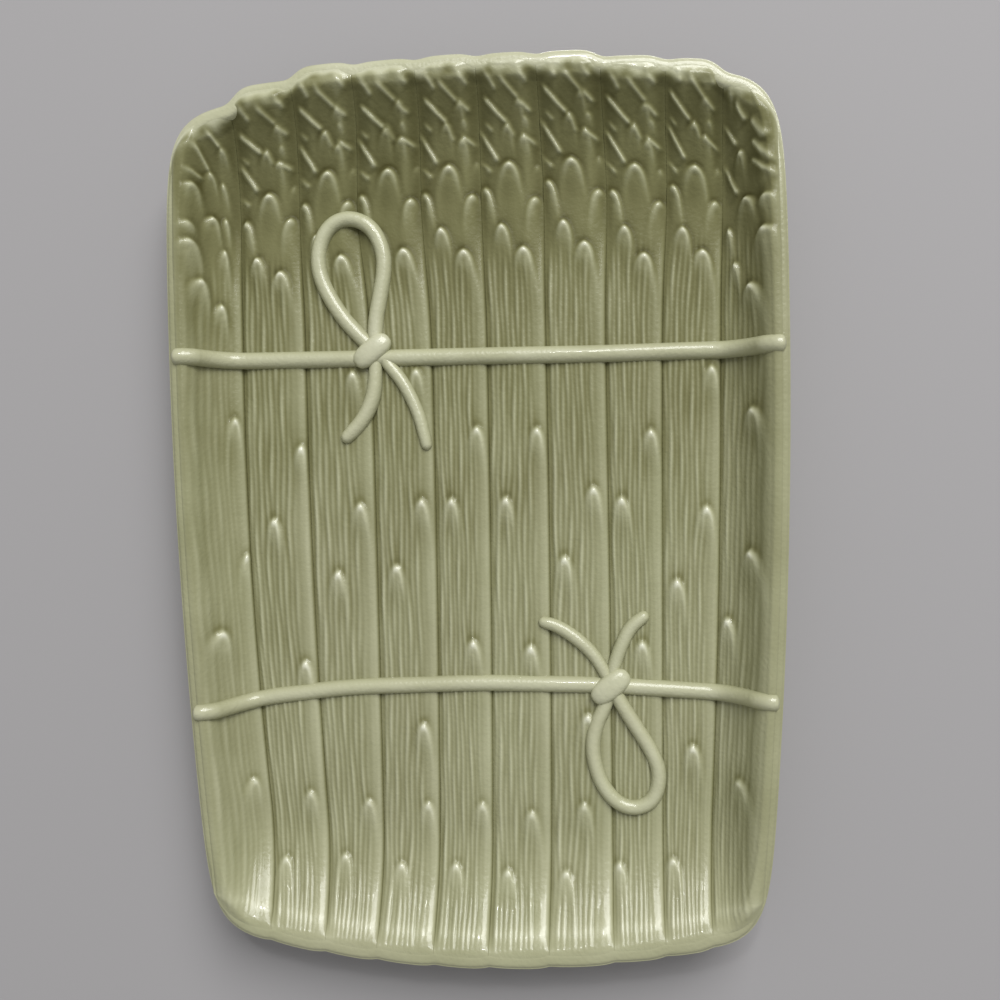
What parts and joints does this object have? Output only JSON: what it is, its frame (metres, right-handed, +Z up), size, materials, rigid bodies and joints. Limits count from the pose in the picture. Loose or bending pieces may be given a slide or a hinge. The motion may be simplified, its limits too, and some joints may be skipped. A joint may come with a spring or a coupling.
{
  "type": "asparagus plate",
  "caption": "Shallow oblong glazed serving plate modelled as a bundle of asparagus spears tied by clay cords with bows, on a low foot ring.",
  "frame": {"origin": "under the middle of the plate, on the table plane that the foot ring rests on", "axes": "+Z up, +Y along the plate towards the spear tips, +X across the plate to the right when the tips point away"},
  "size_m": [0.2212, 0.322, 0.029],
  "materials": {
    "glaze": "glossy pale celadon glaze, darker in the hollows",
    "bare_clay": "unglazed buff clay"
  },
  "bodies": {
    "root": {"dish_body": "glaze", "foot_ring": "bare_clay", "spear_01": "glaze", "spear_02": "glaze", "spear_03": "glaze", "spear_04": "glaze", "spear_05": "glaze", "spear_06": "glaze", "spear_07": "glaze", "spear_08": "glaze", "spear_09": "glaze", "spear_10": "glaze", "upper_cord": "glaze", "upper_knot": "glaze", "upper_bow": "glaze", "upper_tail_left": "glaze", "upper_tail_right": "glaze", "lower_cord": "glaze", "lower_knot": "glaze", "lower_bow": "glaze", "lower_tail_left": "glaze", "lower_tail_right": "glaze"}
  },
  "joints": []
}
